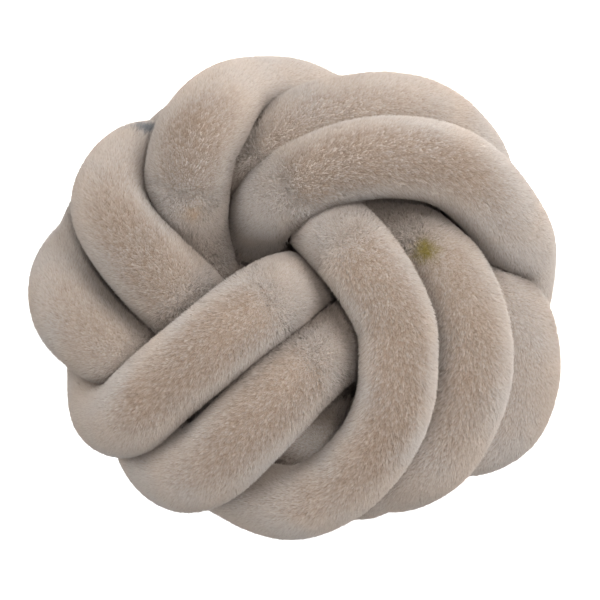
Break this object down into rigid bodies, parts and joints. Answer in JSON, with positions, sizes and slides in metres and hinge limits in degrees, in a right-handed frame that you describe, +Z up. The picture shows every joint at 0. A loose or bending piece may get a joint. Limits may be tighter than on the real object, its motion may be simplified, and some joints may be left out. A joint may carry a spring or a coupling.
{
  "type": "knot cushion",
  "caption": "Round throw cushion formed by a long stuffed plush tube, joined end to end and wound over and under itself into a fat knot.",
  "frame": {"origin": "under the middle of the cushion's box, on the surface that the cushion lies on", "axes": "+Z up, out of the face that shows; +X to the right and +Y to the top of that face as pictured"},
  "size_m": [0.3966, 0.3606, 0.2355],
  "materials": {
    "plush": "short pile plush, matt"
  },
  "bodies": {
    "root": {"knot_tube": "plush"}
  },
  "joints": []
}
